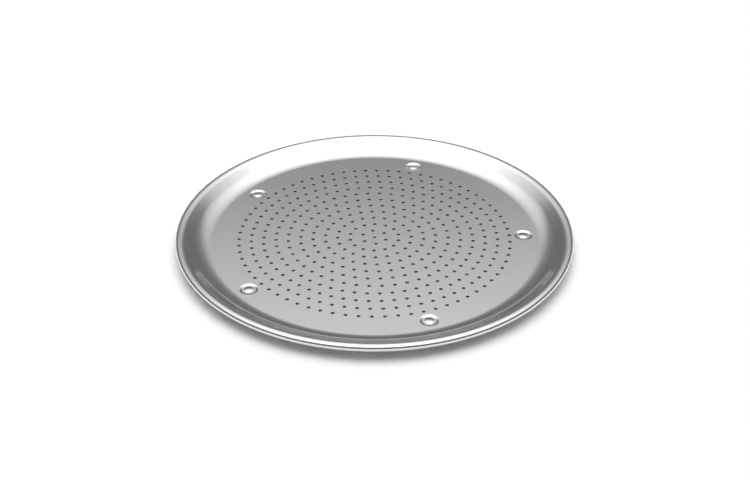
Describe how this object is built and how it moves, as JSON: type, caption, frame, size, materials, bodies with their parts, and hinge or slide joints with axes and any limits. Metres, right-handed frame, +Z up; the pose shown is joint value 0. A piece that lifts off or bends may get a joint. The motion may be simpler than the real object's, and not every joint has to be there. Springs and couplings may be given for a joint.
{
  "type": "pizza tray",
  "caption": "Round perforated aluminium pizza tray with a low sloping wall, a rim curled over a wire, and small riveted feet that lift its floor off the surface.",
  "frame": {"origin": "on the tray's axis, at the level that its feet stand on", "axes": "+Z up along the tray's axis; -Y runs from the axis through the first foot, along the line where every ring of holes starts"},
  "size_m": [0.3204, 0.3204, 0.0127],
  "materials": {
    "tray_sheet": "satin floor, polished wall and rim",
    "rim_wire": "drawn wire",
    "foot": "turned",
    "foot_rivet": "bright, smooth"
  },
  "bodies": {
    "root": {"tray": "tray_sheet", "rim_wire": "rim_wire", "foot_1": "foot", "foot_2": "foot", "foot_3": "foot", "foot_4": "foot", "foot_5": "foot", "foot_rivet_1": "foot_rivet", "foot_rivet_2": "foot_rivet", "foot_rivet_3": "foot_rivet", "foot_rivet_4": "foot_rivet", "foot_rivet_5": "foot_rivet"}
  },
  "joints": []
}
